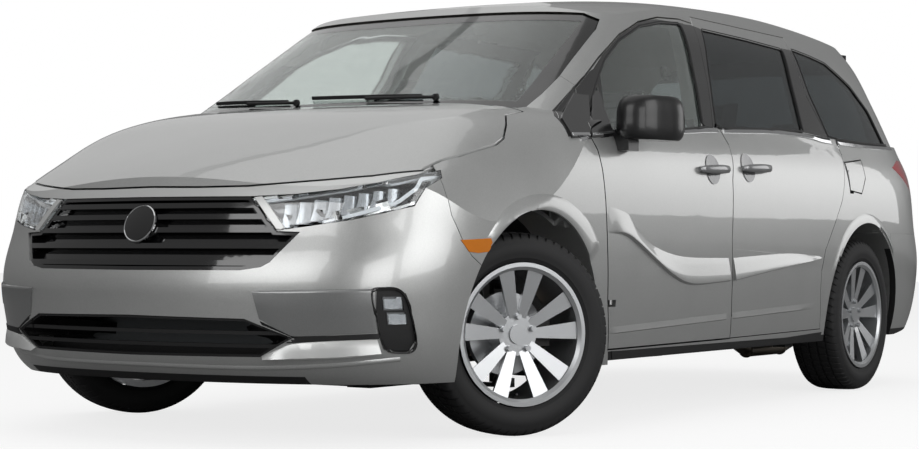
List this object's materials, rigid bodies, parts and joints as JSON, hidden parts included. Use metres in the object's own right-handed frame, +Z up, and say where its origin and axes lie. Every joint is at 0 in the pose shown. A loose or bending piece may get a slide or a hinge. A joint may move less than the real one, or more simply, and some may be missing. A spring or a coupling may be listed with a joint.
{
  "type": "minivan",
  "caption": "Seven-seat family van with hinged front doors, sliding rear doors, a lifting tailgate and bonnet, and steered front wheels, rolling on spoked alloy wheels.",
  "frame": {"origin": "on the ground under the middle of the bounding box, on the car's middle plane", "axes": "the nose points along -Y, the car's left side is +X and +Z is up"},
  "size_m": [2.2856, 5.2129, 1.7481],
  "materials": {
    "body_paint": "gloss",
    "structure_paint": "gloss",
    "black_gloss": "gloss",
    "black_plastic": "matte",
    "bright_trim": "polished",
    "lamp_lens": "clear",
    "lamp_red": "gloss",
    "clear_glass": "clear",
    "dark_glass": "tinted",
    "seat_cloth": "woven",
    "dash_plastic": "grained",
    "tyre_rubber": "matte",
    "rim_alloy": "painted",
    "cast_metal": "cast",
    "bare_steel": "brushed",
    "tank_plastic": "matte",
    "core_alloy": "bare"
  },
  "bodies": {
    "body": {"body_shell": "structure_paint", "front_fenders": "body_paint", "front_bumper": "body_paint", "upper_grille": "black_gloss", "upper_bar": "bright_trim", "lower_grilles": "black_plastic", "headlamps": "lamp_lens", "fog_lamps": "lamp_lens", "windshield": "clear_glass", "cowl": "black_plastic", "sliding_door_left": "body_paint", "sliding_door_right": "body_paint", "side_glasses": "dark_glass", "tail_lamps": "lamp_red", "rear_bumper": "body_paint", "dashboard": "dash_plastic", "front_seats": "seat_cloth", "rear_seats": "seat_cloth", "engine": "cast_metal", "radiator": "core_alloy", "fuel_tank": "tank_plastic", "exhaust": "bare_steel", "front_subframe": "cast_metal", "rear_suspension": "cast_metal"},
    "hood": {"hood": "body_paint"},
    "tailgate": {"tailgate": "body_paint", "tailgate_glass": "dark_glass"},
    "door_left": {"front_door_left": "body_paint", "front_door_glass_left": "clear_glass", "mirror_left": "black_gloss"},
    "door_right": {"front_door_right": "body_paint", "front_door_glass_right": "clear_glass", "mirror_right": "black_gloss"},
    "fuel_flap": {"fuel_door": "body_paint"},
    "hand_wheel": {"steering_wheel": "dash_plastic"},
    "upright_left": {"knuckle_front_left": "cast_metal"},
    "upright_right": {"knuckle_front_right": "cast_metal"},
    "wheel_front_left": {"tyre_front_left": "tyre_rubber", "rim_front_left": "rim_alloy"},
    "wheel_front_right": {"tyre_front_right": "tyre_rubber", "rim_front_right": "rim_alloy"},
    "wheel_rear_left": {"tyre_rear_left": "tyre_rubber", "rim_rear_left": "rim_alloy"},
    "wheel_rear_right": {"tyre_rear_right": "tyre_rubber", "rim_rear_right": "rim_alloy"}
  },
  "joints": [
    {"name": "hood_hinge", "type": "hinge", "parent": "body", "child": "hood", "pos_m": [0, -1.48, 1.08], "axis": [-1, 0, 0], "range_deg": [0, 50]},
    {"name": "tailgate_hinge", "type": "hinge", "parent": "body", "child": "tailgate", "pos_m": [0, 2.12, 1.652], "axis": [1, 0, 0], "range_deg": [0, 75]},
    {"name": "door_left_hinge", "type": "hinge", "parent": "body", "child": "door_left", "pos_m": [0.967, -1.062, 0.7], "axis": [0, 0, -1], "range_deg": [0, 65]},
    {"name": "door_right_hinge", "type": "hinge", "parent": "body", "child": "door_right", "pos_m": [-0.967, -1.062, 0.7], "axis": [0, 0, 1], "range_deg": [0, 65]},
    {"name": "fuel_flap_hinge", "type": "hinge", "parent": "body", "child": "fuel_flap", "pos_m": [0.965, 1.22, 0.985], "axis": [0, 0, -1], "range_deg": [0, 80]},
    {"name": "hand_wheel_turn", "type": "hinge", "parent": "body", "child": "hand_wheel", "pos_m": [0.38, -0.79, 0.99], "axis": [0, 0.9135, 0.4067], "range_deg": [-126, 975]},
    {"name": "steer_left", "type": "hinge", "parent": "body", "child": "upright_left", "pos_m": [0.855, -1.596, 0.352], "axis": [0, 0, 1], "range_deg": [-8.7, 67.3]},
    {"name": "steer_right", "type": "hinge", "parent": "body", "child": "upright_right", "pos_m": [-0.855, -1.596, 0.352], "axis": [0, 0, 1], "range_deg": [-8.7, 67.3]},
    {"name": "spin_front_left", "type": "hinge", "parent": "upright_left", "child": "wheel_front_left", "pos_m": [0.855, -1.596, 0.352], "axis": [0.8721, -0.4894, 0], "continuous": true},
    {"name": "spin_front_right", "type": "hinge", "parent": "upright_right", "child": "wheel_front_right", "pos_m": [-0.855, -1.596, 0.352], "axis": [0.8721, -0.4894, 0], "continuous": true},
    {"name": "spin_rear_left", "type": "hinge", "parent": "body", "child": "wheel_rear_left", "pos_m": [0.855, 1.404, 0.352], "axis": [1, 0, 0], "continuous": true},
    {"name": "spin_rear_right", "type": "hinge", "parent": "body", "child": "wheel_rear_right", "pos_m": [-0.855, 1.404, 0.352], "axis": [1, 0, 0], "continuous": true}
  ],
  "couplings": [
    {"joint": "steer_left", "follows": "hand_wheel_turn", "ratio": 0.068966},
    {"joint": "steer_right", "follows": "hand_wheel_turn", "ratio": 0.068966}
  ]
}
